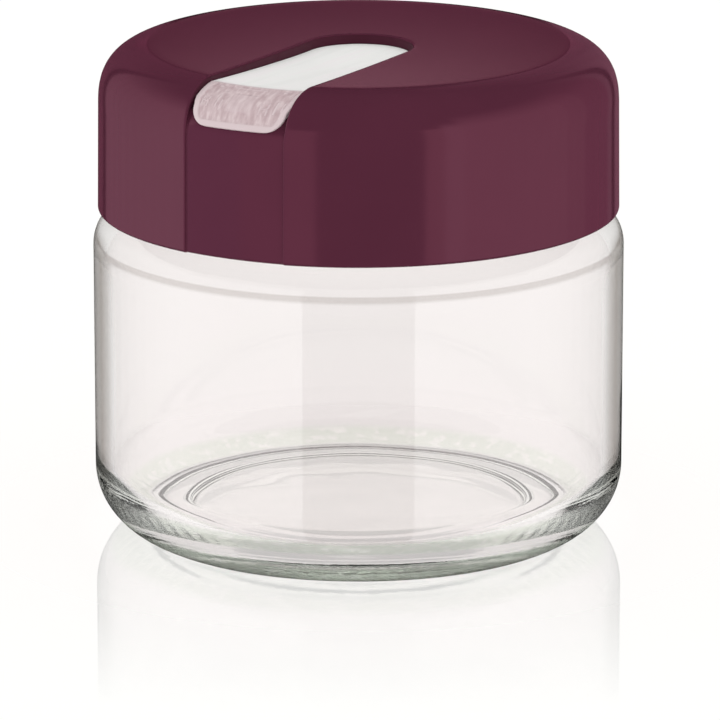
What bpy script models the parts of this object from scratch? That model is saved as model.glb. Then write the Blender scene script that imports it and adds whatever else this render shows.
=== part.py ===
"""Spice jar: a squat clear glass jar under a plum screw lid with a clear window let into it.

Metres, +Z up. The origin is the middle of the base, on the surface that the jar stands on. The lid's
window starts over the middle of the jar and runs towards -Y, over the lid's rounded edge.
"""

from math import cos, pi, radians, sin, tan

import bmesh
import bpy

# Round forms are turned in this many steps
ROUND_STEPS = 64

# Gap kept between pieces that touch on the real jar
GAP = 0.0003

# Outside of the glass
GLASS_RADIUS = 0.04225
HEEL_RADIUS = 0.0109
HEEL_TOP = 0.0102
HEEL_TURN = 69.0
SHOULDER_ARC = 0.0056
SHOULDER_TURN = 84.0
SHOULDER_DROP = 0.0001
NECK_FILLET = 0.0007
NECK_RADIUS = 0.0367
NECK_TOP = 0.0714
RIM_ROUND = 0.0011

# Underside of the glass: a flat ring to stand on, round a raised middle
STAND_OUTER = 0.0350
STAND_INNER = 0.0332
STAND_BEVEL = 0.0318
STAND_RISE = 0.0010
PUNT_RADIUS = 0.0268
PUNT_STEP = 0.0006
PUNT_CROWN = 0.0004

# Inside of the glass
GLASS_WALL = 0.0028
FLOOR_HEIGHT = 0.0040
FLOOR_CROWN = 0.0005
INNER_HEEL = 0.0080
MOUTH_RADIUS = 0.0335
INNER_SHOULDER = 0.0030
INNER_SHOULDER_LIFT = 0.0002
MOUTH_FLARE = 0.0012
MOUTH_FLARE_LOW = 0.0006
MOUTH_FLARE_HIGH = 0.0022

# Outside of the lid: a slightly tapered side and a broad, soft edge up to a flat top
LID_BOTTOM = 0.0519
LID_TOP = 0.0785
LID_RADIUS = 0.0415
LID_TAPER = 0.0002
LID_EDGE_RUN = 0.01124
LID_EDGE_RISE = 0.0100
LID_EDGE_POWER = 2.75
LID_EDGE_STEPS = 9
LID_INNER_STEPS = 5
LID_RIM_ROUND = 0.0005
LID_RIM_START = -30.0

# Walls of the lid, and the ring under its top that seals on the rim of the glass
LID_TOP_WALL = 0.0022
LID_SIDE_WALL = 0.0022
SEAL_INNER = 0.0339
SEAL_OUTER = 0.0363
SEAL_SINK = 0.0004

# The shallow channel that holds the window: deep on top, a mere panel line down the side
CHANNEL_HALF = 0.0086
CHANNEL_DEPTH = 0.0013
CHANNEL_SIDE_DEPTH = 0.0004
CHANNEL_BLEND = (60.0, 84.0)

# The clear window, its seat in the channel, the frame behind it and the hole under it
WINDOW_THICKNESS = 0.0014
WINDOW_HALF = 0.0080
WINDOW_BOTTOM = 0.0724
WINDOW_CORNER = 0.0031
CORNER_TURN = 75.0
CORNER_MARGIN = 0.0001
LEDGE = 0.0014
FRAME_HALF = 0.0103
FRAME_DEPTH = 0.0040
FRAME_SIDE_DEPTH = 0.0038
FRAME_BOTTOM = 0.0706
FRAME_CORNER = 0.0040
FRAME_SINK = 0.0008
HOLE_DEPTH = 0.0060

# Screw thread: the bead on the neck, and the ridge inside the lid that runs under it
THREAD_PITCH = 0.0050
THREAD_TURNS = 1.4
THREAD_STEPS = 30
THREAD_START = 12.3
THREAD_TOP = NECK_TOP - 0.0040
THREAD_ROOT_HALF = 0.0010
THREAD_TIP_HALF = 0.0004
THREAD_SINK = 0.0006
THREAD_TAPER = 25.0
BEAD_TIP = 0.0382
RIDGE_TIP = 0.0376
RIDGE_DROP = 0.0019

# Cutters reach this far past what they cut
OVERRUN = 0.0020

# Colours, as linear RGBA
GLASS_COLOUR = (0.90, 0.96, 0.93, 1.0)
PLUM_COLOUR = (0.105, 0.030, 0.052, 1.0)
WINDOW_COLOUR = (0.86, 0.80, 0.81, 1.0)


def clear_scene():
    """Starts from an empty scene."""
    for thing in list(bpy.data.objects):
        bpy.data.objects.remove(thing, do_unlink=True)


def material(name, colour, roughness, transmission):
    """A plain finish: colour, roughness and how much light goes through."""
    finish = bpy.data.materials.new(name)
    finish.use_nodes = True
    shader = finish.node_tree.nodes["Principled BSDF"]
    shader.inputs["Base Color"].default_value = colour
    shader.inputs["Roughness"].default_value = roughness
    shader.inputs["Metallic"].default_value = 0.0
    shader.inputs["Transmission Weight"].default_value = transmission
    return finish


def object_from(name, mesh_data):
    """Puts a finished bmesh into the scene as a closed object with its faces pointing out."""
    bmesh.ops.recalc_face_normals(mesh_data, faces=mesh_data.faces)
    mesh = bpy.data.meshes.new(name)
    mesh_data.to_mesh(mesh)
    mesh_data.free()
    thing = bpy.data.objects.new(name, mesh)
    bpy.context.scene.collection.objects.link(thing)
    return thing


def turned(name, outline):
    """Turns a closed outline of (radius, height) points about the Z axis."""
    mesh_data = bmesh.new()
    points = [mesh_data.verts.new((radius, 0.0, height)) for radius, height in outline]
    edges = []
    for first, second in zip(points, points[1:] + points[:1]):
        on_axis = first.co.x == 0.0 and second.co.x == 0.0
        if not on_axis:
            edges.append(mesh_data.edges.new((first, second)))
    bmesh.ops.spin(
        mesh_data,
        geom=points + edges,
        cent=(0.0, 0.0, 0.0),
        axis=(0.0, 0.0, 1.0),
        angle=2.0 * pi,
        steps=ROUND_STEPS,
        use_merge=True,
    )
    bmesh.ops.remove_doubles(mesh_data, verts=mesh_data.verts, dist=0.00001)
    return object_from(name, mesh_data)


def extruded(name, outline, start, end):
    """Draws a closed outline of 3D points out from start to end, both offsets from the outline."""
    mesh_data = bmesh.new()
    near = [mesh_data.verts.new([a + b for a, b in zip(point, start)]) for point in outline]
    far = [mesh_data.verts.new([a + b for a, b in zip(point, end)]) for point in outline]
    mesh_data.faces.new(near)
    mesh_data.faces.new(reversed(far))
    for index in range(len(outline)):
        after = (index + 1) % len(outline)
        mesh_data.faces.new((near[index], far[index], far[after], near[after]))
    return object_from(name, mesh_data)


def combine(body, tool, operation):
    """Joins the tool to the body, cuts it away, or keeps what they share, and drops the tool."""
    modifier = body.modifiers.new(operation.title(), "BOOLEAN")
    modifier.operation = operation
    modifier.solver = "EXACT"
    modifier.object = tool
    graph = bpy.context.evaluated_depsgraph_get()
    result = bpy.data.meshes.new_from_object(body.evaluated_get(graph))
    body.modifiers.clear()
    body.data = result
    bpy.data.objects.remove(tool, do_unlink=True)


def finish(thing, surface):
    """Gives an object its one material and smooth shading with crisp corners."""
    thing.data.materials.clear()
    thing.data.materials.append(surface)
    thing.data.shade_smooth()
    thing.data.set_sharp_from_angle(angle=radians(30.0))


def arc(centre, radius, start, end, steps):
    """Points on an arc of the outline, from one angle to the other, in degrees from +radius."""
    middle_radius, middle_height = centre
    points = []
    for step in range(steps + 1):
        angle = radians(start + (end - start) * step / steps)
        points.append((middle_radius + radius * cos(angle), middle_height + radius * sin(angle)))
    return points


def thread(name, top, root, tip, steps_a_turn):
    """A helical ridge from its root, sunk into the wall, out or in to its tip."""
    mesh_data = bmesh.new()
    count = round(THREAD_TURNS * steps_a_turn)
    rings = []
    for step in range(count + 1):
        turn = 360.0 * THREAD_TURNS * step / count
        from_end = min(turn, 360.0 * THREAD_TURNS - turn)
        full = min(1.0, from_end / THREAD_TAPER)
        reach = root + (tip - root) * (0.15 + 0.85 * full)
        height = top - THREAD_PITCH * turn / 360.0
        section = (
            (root, height + THREAD_ROOT_HALF),
            (reach, height + THREAD_TIP_HALF),
            (reach, height - THREAD_TIP_HALF),
            (root, height - THREAD_ROOT_HALF),
        )
        around = radians(THREAD_START + turn)
        rings.append([
            mesh_data.verts.new((radius * cos(around), radius * sin(around), level))
            for radius, level in section
        ])
    for before, after in zip(rings, rings[1:]):
        for side in range(4):
            other = (side + 1) % 4
            mesh_data.faces.new((before[side], after[side], after[other], before[other]))
    mesh_data.faces.new(rings[0])
    mesh_data.faces.new(reversed(rings[-1]))
    return object_from(name, mesh_data)


def make_glass():
    """The jar: a thick heel, straight wall, round shoulder and a threaded neck, all one glass."""
    stand_bottom = [
        (0.0, STAND_RISE + PUNT_STEP + PUNT_CROWN),
        (0.5 * PUNT_RADIUS, STAND_RISE + PUNT_STEP + 0.75 * PUNT_CROWN),
        (PUNT_RADIUS, STAND_RISE + PUNT_STEP),
        (PUNT_RADIUS + PUNT_STEP, STAND_RISE),
        (STAND_BEVEL, STAND_RISE),
        (STAND_INNER, 0.0),
        (STAND_OUTER, 0.0),
    ]
    heel_middle = (GLASS_RADIUS - HEEL_RADIUS, HEEL_TOP)
    heel = arc(heel_middle, HEEL_RADIUS, -HEEL_TURN, 0.0, 6)
    shoulder_middle = (GLASS_RADIUS - SHOULDER_ARC, LID_BOTTOM - SHOULDER_DROP - SHOULDER_ARC)
    shoulder = arc(shoulder_middle, SHOULDER_ARC, 0.0, SHOULDER_TURN, 5)
    neck = [(NECK_RADIUS, shoulder[-1][1] + NECK_FILLET)]
    rim = arc((NECK_RADIUS - RIM_ROUND, NECK_TOP - RIM_ROUND), RIM_ROUND, 0.0, 90.0, 2)
    rim += arc((MOUTH_RADIUS + RIM_ROUND, NECK_TOP - RIM_ROUND), RIM_ROUND, 90.0, 180.0, 2)
    inner_radius = GLASS_RADIUS - GLASS_WALL
    inner_top = shoulder_middle[1] + INNER_SHOULDER_LIFT
    inner_shoulder = arc(
        (inner_radius - INNER_SHOULDER, inner_top), INNER_SHOULDER, 90.0, 0.0, 3
    )
    mouth_foot = [
        (MOUTH_RADIUS, inner_top + INNER_SHOULDER + MOUTH_FLARE_HIGH),
        (MOUTH_RADIUS + MOUTH_FLARE, inner_top + INNER_SHOULDER + MOUTH_FLARE_LOW),
    ]
    inner_heel = arc(
        (inner_radius - INNER_HEEL, FLOOR_HEIGHT + INNER_HEEL), INNER_HEEL, 0.0, -90.0, 5
    )
    floor = [
        (0.5 * inner_heel[-1][0], FLOOR_HEIGHT + 0.75 * FLOOR_CROWN),
        (0.0, FLOOR_HEIGHT + FLOOR_CROWN),
    ]
    outline = stand_bottom + heel + shoulder + neck + rim + mouth_foot
    outline += inner_shoulder + inner_heel + floor
    jar = turned("glass_jar", outline)
    bead = thread("bead", THREAD_TOP, NECK_RADIUS - THREAD_SINK, BEAD_TIP, THREAD_STEPS)
    combine(jar, bead, "UNION")
    return jar


def eased(share):
    """Runs softly from 0 to 1 as share does, and stays there outside that range."""
    held = min(1.0, max(0.0, share))
    return held * held * (3.0 - 2.0 * held)


def lid_line(top_depth, side_depth, end, steps=LID_EDGE_STEPS):
    """Outline of the lid's face from its middle to a height, taken in by a depth on top and side."""
    points = [(0.0, LID_TOP - top_depth)]
    flat_radius = LID_RADIUS - LID_TAPER - LID_EDGE_RUN
    power = 2.0 / LID_EDGE_POWER
    blend_start, blend_end = CHANNEL_BLEND
    for step in range(steps + 1):
        turn = 90.0 * step / steps
        share = eased((turn - blend_start) / (blend_end - blend_start))
        depth = top_depth + (side_depth - top_depth) * share
        across = sin(radians(turn)) ** power
        up = max(0.0, cos(radians(turn))) ** power
        radius = flat_radius + (LID_EDGE_RUN - depth) * across
        height = LID_TOP - LID_EDGE_RISE + (LID_EDGE_RISE - depth) * up
        points.append((radius, height))
    points.append((LID_RADIUS - side_depth, end))
    return points


def stadium(half_width, reach):
    """Plan of the window's track: a round end over the jar's middle, then straight out to -Y."""
    points = [(half_width, -reach, 0.0)]
    steps = 16
    for step in range(steps + 1):
        angle = pi * step / steps
        points.append((half_width * cos(angle), half_width * sin(angle), 0.0))
    points.append((-half_width, -reach, 0.0))
    return points


def front_outline(half_width, bottom, corner):
    """Front view of the window's lower end: round corners that open out a little above them."""
    lower_left = []
    lower_right = []
    steps = 5
    middle = half_width + CORNER_MARGIN - corner
    for step in range(steps + 1):
        turn = radians(CORNER_TURN * step / steps)
        across = middle + corner * sin(turn)
        height = bottom + corner * (1.0 - cos(turn))
        lower_right.append((across, 0.0, height))
        lower_left.append((-across, 0.0, height))
    top = LID_TOP + 2.0 * OVERRUN
    spread = (top - lower_right[-1][2]) / tan(radians(CORNER_TURN))
    top_right = (lower_right[-1][0] + spread, 0.0, top)
    top_left = (-top_right[0], 0.0, top)
    return list(reversed(lower_left)) + lower_right + [top_right, top_left]


def track_block(name, outer, inner, half_width, bottom, corner):
    """A length of lid wall between two depths, as wide as the track and ending at bottom."""
    end = LID_BOTTOM - OVERRUN
    outline = lid_line(*outer, end) + list(reversed(lid_line(*inner, end)))
    block = turned(name, outline)
    reach = LID_RADIUS + 4.0 * OVERRUN
    top = LID_TOP + 2.0 * OVERRUN
    plan = extruded("plan", stadium(half_width, reach), (0.0, 0.0, end - OVERRUN), (0.0, 0.0, top))
    combine(block, plan, "INTERSECT")
    if corner > 0.0:
        outline = front_outline(half_width, bottom, corner)
        front = extruded("front", outline, (0.0, -reach, 0.0), (0.0, reach, 0.0))
        combine(block, front, "INTERSECT")
    return block


def make_lid():
    """The screw lid: one moulding with a seal ring, a thread ridge and a framed window hole."""
    outer = lid_line(0.0, 0.0, LID_BOTTOM + LID_RIM_ROUND)
    rim = arc(
        (LID_RADIUS - LID_RIM_ROUND, LID_BOTTOM + LID_RIM_ROUND),
        LID_RIM_ROUND,
        LID_RIM_START,
        -90.0,
        2,
    )
    inner = lid_line(LID_TOP_WALL, LID_SIDE_WALL, LID_BOTTOM, LID_INNER_STEPS)
    lid = turned("lid", outer + rim + list(reversed(inner)))

    frame = track_block(
        "frame",
        (FRAME_SINK, FRAME_SINK),
        (FRAME_DEPTH, FRAME_SIDE_DEPTH),
        FRAME_HALF,
        FRAME_BOTTOM,
        FRAME_CORNER,
    )
    combine(lid, frame, "UNION")

    seal_foot = NECK_TOP + GAP
    seal_head = LID_TOP - LID_TOP_WALL + SEAL_SINK
    seal = turned("seal", [
        (SEAL_INNER, seal_foot),
        (SEAL_OUTER, seal_foot),
        (SEAL_OUTER, seal_head),
        (SEAL_INNER, seal_head),
    ])
    combine(lid, seal, "UNION")

    wall_face = LID_RADIUS - LID_SIDE_WALL
    ridge = thread(
        "ridge", THREAD_TOP - RIDGE_DROP, wall_face + THREAD_SINK, RIDGE_TIP, THREAD_STEPS
    )
    combine(lid, ridge, "UNION")

    outside = (-OVERRUN, -OVERRUN)
    channel_floor = (CHANNEL_DEPTH, CHANNEL_SIDE_DEPTH)
    channel = track_block("channel", outside, channel_floor, CHANNEL_HALF, 0.0, 0.0)
    combine(lid, channel, "DIFFERENCE")

    seat_floor = [depth + WINDOW_THICKNESS + GAP for depth in channel_floor]
    seat = track_block(
        "seat", outside, seat_floor, WINDOW_HALF + GAP, WINDOW_BOTTOM - GAP, WINDOW_CORNER + GAP
    )
    combine(lid, seat, "DIFFERENCE")

    hole = track_block(
        "hole",
        outside,
        (HOLE_DEPTH, HOLE_DEPTH),
        WINDOW_HALF - LEDGE,
        WINDOW_BOTTOM + LEDGE,
        WINDOW_CORNER - LEDGE,
    )
    combine(lid, hole, "DIFFERENCE")
    return lid


def make_window():
    """The clear window: a plate that lies in the channel and bends down over the lid's edge."""
    face = (CHANNEL_DEPTH, CHANNEL_SIDE_DEPTH)
    back = [depth + WINDOW_THICKNESS for depth in face]
    return track_block("lid_window", face, back, WINDOW_HALF, WINDOW_BOTTOM, WINDOW_CORNER)


def main():
    """Makes the three pieces of the jar."""
    clear_scene()
    finish(make_glass(), material("clear_glass", GLASS_COLOUR, 0.02, 1.0))
    finish(make_lid(), material("plum_plastic", PLUM_COLOUR, 0.42, 0.0))
    finish(make_window(), material("clear_plastic", WINDOW_COLOUR, 0.12, 0.6))


main()
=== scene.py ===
# %% [markdown]
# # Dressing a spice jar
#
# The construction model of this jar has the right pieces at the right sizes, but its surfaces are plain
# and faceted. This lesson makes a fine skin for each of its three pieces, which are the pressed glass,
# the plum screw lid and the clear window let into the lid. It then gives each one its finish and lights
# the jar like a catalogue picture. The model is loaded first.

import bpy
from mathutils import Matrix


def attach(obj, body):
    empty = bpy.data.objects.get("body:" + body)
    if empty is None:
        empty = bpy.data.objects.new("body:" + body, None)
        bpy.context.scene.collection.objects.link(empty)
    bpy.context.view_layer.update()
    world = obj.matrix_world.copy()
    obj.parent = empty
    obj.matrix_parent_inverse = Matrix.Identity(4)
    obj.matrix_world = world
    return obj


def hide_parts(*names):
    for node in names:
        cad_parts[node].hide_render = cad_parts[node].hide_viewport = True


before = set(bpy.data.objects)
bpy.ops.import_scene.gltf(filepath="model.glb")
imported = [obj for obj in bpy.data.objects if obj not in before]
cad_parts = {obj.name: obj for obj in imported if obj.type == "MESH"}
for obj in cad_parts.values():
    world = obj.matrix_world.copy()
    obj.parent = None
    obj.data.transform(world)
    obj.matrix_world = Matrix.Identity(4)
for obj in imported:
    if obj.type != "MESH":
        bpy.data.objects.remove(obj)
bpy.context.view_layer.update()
print("pieces:", sorted(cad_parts))

# %% [markdown]
# ## A mesh from rings
#
# A jar and its lid are round, so nearly all of their skin can be made of rings of points with faces
# between them. Blender's Spin or Screw would turn an outline just as well. Here the rings are worked out
# as arrays instead, because then a screw thread, grip marks or a window's track can be pressed into the
# skin by moving points, and no cut is needed that would spoil the shading around it.

# %% Helpers that turn arrays of points into a piece
from math import asin, atan2, cos, pi, radians, sin, sqrt, tan

import bmesh
import bpy
import numpy as np
from mathutils import Vector, noise


def piece_from(name, points, faces):
    """Makes a smooth-shaded object from points and faces."""
    mesh = bpy.data.meshes.new(name)
    mesh.from_pydata([tuple(point) for point in points], [], faces)
    mesh.validate()
    mesh.shade_smooth()
    piece = bpy.data.objects.new(name, mesh)
    bpy.context.scene.collection.objects.link(piece)
    print(name, "has", len(mesh.vertices), "points and", len(mesh.polygons), "faces")
    return piece


def eased(share):
    """Runs softly from 0 to 1 as share does, and stays there outside that range."""
    held = min(1.0, max(0.0, share))
    return held * held * (3.0 - 2.0 * held)


def arc(centre, radius, start, end, steps):
    """Points on an arc of an outline, from one angle to the other, in degrees from +radius."""
    angles = [radians(start + (end - start) * step / steps) for step in range(steps + 1)]
    return [(centre[0] + radius * cos(a), centre[1] + radius * sin(a)) for a in angles]


def spaced(start, end, gap):
    """Numbers from start to end, both kept, no further apart than gap."""
    steps = max(1, round(abs(end - start) / gap))
    return [start + (end - start) * step / steps for step in range(steps + 1)]


# %% [markdown]
# ## The lid's outline
#
# The lid is one moulding of plastic: a top that is hollow by half a millimetre, a broad soft edge and a
# side that widens by a hair towards its rim. The edge isn't a quarter circle. It leaves the top gently
# and turns down late, which is the curve of a superellipse, so its formula is used and its normal comes
# with it. Where it meets the hollow top there is a faint crest that the light picks out as a line.

# %% The lid's skin from the top's middle to its rim
LID_BOTTOM = 0.0519
LID_TOP = 0.0785
LID_RADIUS = 0.0415
LID_TAPER = 0.0002
LID_EDGE_RUN = 0.01124
LID_EDGE_RISE = 0.0100
LID_EDGE_POWER = 2.75
LID_RIM_ROUND = 0.0005
FLAT_RADIUS = LID_RADIUS - LID_TAPER - LID_EDGE_RUN
EDGE_FOOT = LID_TOP - LID_EDGE_RISE
CREST_RADIUS = 0.0334
DISH_DEPTH = 0.00048


def edge_station(turn):
    """Radius, height and outward normal of the lid's soft edge; turn runs from 0 on top to 90."""
    across = sin(radians(turn)) ** (2.0 / LID_EDGE_POWER)
    up = max(0.0, cos(radians(turn))) ** (2.0 / LID_EDGE_POWER)
    out = across ** (LID_EDGE_POWER - 1.0) / LID_EDGE_RUN
    rise = up ** (LID_EDGE_POWER - 1.0) / LID_EDGE_RISE
    length = sqrt(out * out + rise * rise)
    radius = FLAT_RADIUS + LID_EDGE_RUN * across
    height = EDGE_FOOT + LID_EDGE_RISE * up
    return radius, height, out / length, rise / length


def turn_at(radius):
    """The turn at which the lid's soft edge has that radius."""
    share = min(1.0, max(0.0, (radius - FLAT_RADIUS) / LID_EDGE_RUN))
    return asin(share ** (LID_EDGE_POWER / 2.0)) * 180.0 / pi


CREST_TURN = turn_at(CREST_RADIUS)
CREST_HEIGHT = edge_station(CREST_TURN)[1]


def dish_station(radius):
    """Height and normal of the lid's top, which is very slightly hollow inside its crest."""
    share = radius / CREST_RADIUS
    slope = 2.0 * DISH_DEPTH * share / CREST_RADIUS
    length = sqrt(1.0 + slope * slope)
    return CREST_HEIGHT - DISH_DEPTH * (1.0 - share * share), -slope / length, 1.0 / length


EDGE_TURNS = [CREST_TURN + 1.2] + [14.0 + 76.0 * step / 36 for step in range(37)]
print("the crest lies", round(CREST_RADIUS * 1000, 2), "mm out at", round(CREST_HEIGHT * 1000, 2))

# %% [markdown]
# ## The window's track
#
# The window lies in a track that runs from the middle of the lid out over its edge, with a round end in
# the middle. On top the track is a clear step down. On the side it fades to a panel that lies a few
# tenths back. A Boolean could cut it, but long cut faces shade badly on a glossy curve. So the lid's
# rings and columns follow the track's wall, packed close together there, and the points inside it sink.

# %% Columns and rings that follow the track
TRACK_HALF = 0.0086
TRACK_DEPTHS = ((0.0090, 0.00158), (0.0250, 0.00112), (0.0334, 0.00085))
PANEL_DEPTH = 0.00036
PANEL_SAG = 0.00012
TRACK_BLEND = (60.0, 84.0)
LIP_ROUND = 0.00036
FLOOR_FILLET = 0.00015
WALL_LEAN = 0.00001
HOLE_HALF = 0.0066
FRAME_HALF = 0.0103
WALL_OFFSETS = [
    -0.0006, -0.00032, -0.00016, -0.00008, -0.00003, -WALL_LEAN,
    0.0, 0.00002, 0.00006, 0.00013, 0.00024, 0.00042, 0.0008, 0.0013,
]
EDGE_COLUMNS = [HOLE_HALF, 0.0073] + [TRACK_HALF + offset for offset in WALL_OFFSETS]
EDGE_COLUMNS += [FRAME_HALF - 0.00005, FRAME_HALF + 0.00005]
FAN_COLUMNS = [HOLE_HALF * share / 6 for share in range(6)]
BACK_COLUMNS = 64
SLIVER = radians(0.3)


def column_angles(radius):
    """Angles from the track's direction round one side to the back, for a ring of that radius."""
    angles = [asin(across / max(radius, HOLE_HALF)) for across in FAN_COLUMNS]
    past = 0
    for across in EDGE_COLUMNS:
        if across <= radius + 1e-9:
            angles.append(asin(min(1.0, across / radius)))
        else:
            past += 1
            angles.append(0.5 * pi + SLIVER * past)
    last = angles[-1]
    angles += [last + (pi - last) * step / BACK_COLUMNS for step in range(1, BACK_COLUMNS)]
    return angles


def all_round(radius):
    """Angles of a whole ring, the middle of the track first, round to where it started."""
    half = column_angles(radius)
    return half + [pi] + [2.0 * pi - angle for angle in reversed(half[1:])]


print("each ring of the lid has", len(all_round(LID_RADIUS)), "points")

# %% How deep the track is at each place
WINDOW_THICKNESS = 0.0014
WINDOW_BOTTOM = 0.0724
SEAT_SLACK = 0.00006
SEAT_FOOT = (0.0748, 0.0756)
TONGUE_PROUD = 0.00036


def step_depth(out, floor):
    """Depth of the track's cross-section at a distance out from its wall, down to its floor."""
    lip = min(LIP_ROUND, 0.5 * floor)
    fillet = min(FLOOR_FILLET, 0.3 * floor)
    if out >= 0.0:
        inside = max(0.0, lip - out)
        return lip - sqrt(lip * lip - inside * inside)
    left = max(0.0, fillet - max(0.0, -out - WALL_LEAN))
    return floor - fillet + sqrt(max(0.0, fillet * fillet - left * left))


def track_floor(radius, turn, across):
    """How far the track's floor lies below the lid's skin: a step on top, a slight hollow below."""
    share = eased((turn - TRACK_BLEND[0]) / (TRACK_BLEND[1] - TRACK_BLEND[0]))
    sag = PANEL_SAG * max(0.0, 1.0 - (across / TRACK_HALF) ** 2)
    on_top = np.interp(radius, *zip(*TRACK_DEPTHS))
    return on_top * (1.0 - share) + (PANEL_DEPTH + sag) * share


def seat_depth(radius, turn, height, across):
    """How far the lid itself goes down in the track, under the window's plate."""
    share = eased((height - SEAT_FOOT[0]) / (SEAT_FOOT[1] - SEAT_FOOT[0]))
    return track_floor(radius, turn, across) + share * (WINDOW_THICKNESS + SEAT_SLACK)


print("track:", TRACK_DEPTHS[0][1] * 1000, "mm deep in the middle,", PANEL_DEPTH * 1000, "on the side")

# %% [markdown]
# ## The inside of the lid
#
# Under its skin the lid is a shell about two millimetres thick, with a ring that seals on the glass, a
# deeper frame round the window and a ridge that runs under the thread of the neck. Nobody sees much of
# it, but it shows faintly through the glass and it makes the lid a real closed moulding. It uses the
# same rings as the skin, so the window's hole is made by leaving out faces and joining the two edges.

# %% Stations down the lid, with the skin outside and the wall inside
LID_WALL = 0.0022
FRAME_DEPTH = 0.0040
FRAME_BOTTOM = 0.0706
SEAL_FOOT = 0.0717
SEAL_STATIONS = {0.0341: 0.0339, 0.0343: 0.0339, 0.0355: 0.0363, 0.0357: 0.0363}
SEAL_LOW = (0.0343, 0.0355)
HOLE_END = 0.0738
SIDE_GAP = 0.00055
SIDE_LEAN = atan2(LID_TAPER, EDGE_FOOT - LID_BOTTOM)


def lid_stations():
    """(radius, height, normal out, normal up, turn) of each ring, from the hole out to the rim."""
    flat = EDGE_COLUMNS + spaced(0.0118, CREST_RADIUS - 0.0003, 0.0013)
    stations = [(radius, *dish_station(radius), 0.0) for radius in flat]
    stations.append((CREST_RADIUS, CREST_HEIGHT - 0.00001, 0.04, 0.9992, 0.0))
    turns = sorted(EDGE_TURNS + [turn_at(radius) for radius in SEAL_STATIONS])
    stations += [(*edge_station(turn), turn) for turn in turns]
    for height in spaced(EDGE_FOOT, LID_BOTTOM + LID_RIM_ROUND, SIDE_GAP)[1:]:
        widened = LID_TAPER * (EDGE_FOOT - height) / (EDGE_FOOT - LID_BOTTOM)
        radius = LID_RADIUS - LID_TAPER + widened
        stations.append((radius, height, cos(SIDE_LEAN), sin(SIDE_LEAN), 90.0))
    return stations


STATIONS = lid_stations()
print("the lid has", len(STATIONS), "rings from its window's hole to its rim")

# %% The ridge inside the lid that runs under the thread of the glass
THREAD_PITCH = 0.0050
THREAD_TURNS = 1.4
THREAD_START = 12.3
THREAD_TOP = 0.0674
THREAD_ROOT_HALF = 0.0010
THREAD_TIP_HALF = 0.0004
THREAD_TAPER = 25.0
RIDGE_DROP = 0.0019
RIDGE_HEIGHT = 0.0017


def thread_relief(angle, height, top):
    """0 to 1: how much of a thread's full height there is at an angle in degrees and a height."""
    relief = 0.0
    for lap in range(2):
        turn = (angle - THREAD_START) % 360.0 + 360.0 * lap
        from_end = min(turn, 360.0 * THREAD_TURNS - turn)
        away = abs(height - (top - THREAD_PITCH * turn / 360.0))
        slope = (THREAD_ROOT_HALF - away) / (THREAD_ROOT_HALF - THREAD_TIP_HALF)
        ends = min(1.0, max(0.0, from_end / THREAD_TAPER))
        relief = max(relief, ends * min(1.0, max(0.0, slope)))
    return relief


print("thread: pitch", THREAD_PITCH * 1000, "mm,", THREAD_TURNS, "turns")

# %% Points of the lid's skin and of its inner wall
def distance_from_wall(radius, angle):
    """How far a place lies outside the track's wall; it is negative inside the track."""
    return abs(radius * sin(angle)) - TRACK_HALF if cos(angle) > 0.0 else radius - TRACK_HALF


def skin_point(station, angle):
    """A point of the lid's outside, sunk where the window's track runs."""
    radius, height, out, up, turn = station
    across = radius * sin(angle)
    along = -radius * cos(angle)
    from_wall = distance_from_wall(radius, angle)
    depth = step_depth(from_wall, seat_depth(radius, turn, height, across))
    forward = out * cos(angle)
    length = sqrt(forward * forward + up * up)
    if depth > 0.0 and length > 0.0:
        along += depth * forward / length
        height -= depth * up / length
    return across, along, height


def wall_point(station, angle):
    """The point of the lid's inside that lies behind a point of its skin."""
    radius, height, out, up, turn = station
    across = radius * sin(angle)
    front = cos(angle) > 0.0
    framed = abs(across) < FRAME_HALF if front else radius < FRAME_HALF
    framed = framed and height > FRAME_BOTTOM
    depth = FRAME_DEPTH if framed else LID_WALL
    inner_radius = radius - depth * out
    inner_height = height - depth * up
    for skin_radius, seal_radius in SEAL_STATIONS.items():
        if abs(radius - skin_radius) < 1e-6:
            inner_radius = seal_radius
            if skin_radius in SEAL_LOW:
                inner_height = min(inner_height, SEAL_FOOT)
    if turn >= 90.0:
        around = (angle * 180.0 / pi - 90.0) % 360.0
        relief = thread_relief(around, inner_height, THREAD_TOP - RIDGE_DROP)
        inner_radius -= RIDGE_HEIGHT * relief
    return inner_radius * sin(angle), -inner_radius * cos(angle), inner_height


print("at the rim the skin is at", [round(v * 1000, 2) for v in skin_point(STATIONS[-1], pi)], "mm")

# %% Join skin, rim and wall into one closed lid with the window's hole
RECESS_ENDS = (55.0, 25.0)
RECESS_RIM = 0.00012


def ring_faces(above, below, count):
    """Faces between two rings of points, given the numbers of their first points."""
    return [
        (above + step, below + step, below + (step + 1) % count, above + (step + 1) % count)
        for step in range(count)
    ]


def lid_rings():
    """Rings of the skin and rings of the inner wall, both from the hole out to the rim."""
    skin = [[skin_point(s, angle) for angle in all_round(s[0])] for s in STATIONS]
    wall = [[wall_point(s, angle) for angle in all_round(s[0])] for s in STATIONS]
    rim_middle = (LID_RADIUS - LID_RIM_ROUND, LID_BOTTOM + LID_RIM_ROUND)
    for radius, height in arc(rim_middle, LID_RIM_ROUND, 0.0, -90.0, 6)[1:]:
        rim = (radius, height, cos(SIDE_LEAN), 0.0, 90.0)
        skin.append([skin_point(rim, angle) for angle in all_round(radius)])
    inner_foot = LID_RADIUS - LID_WALL
    angles = all_round(LID_RADIUS)
    wall.append([(inner_foot * sin(a), -inner_foot * cos(a), LID_BOTTOM) for a in angles])
    return skin, wall


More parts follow.
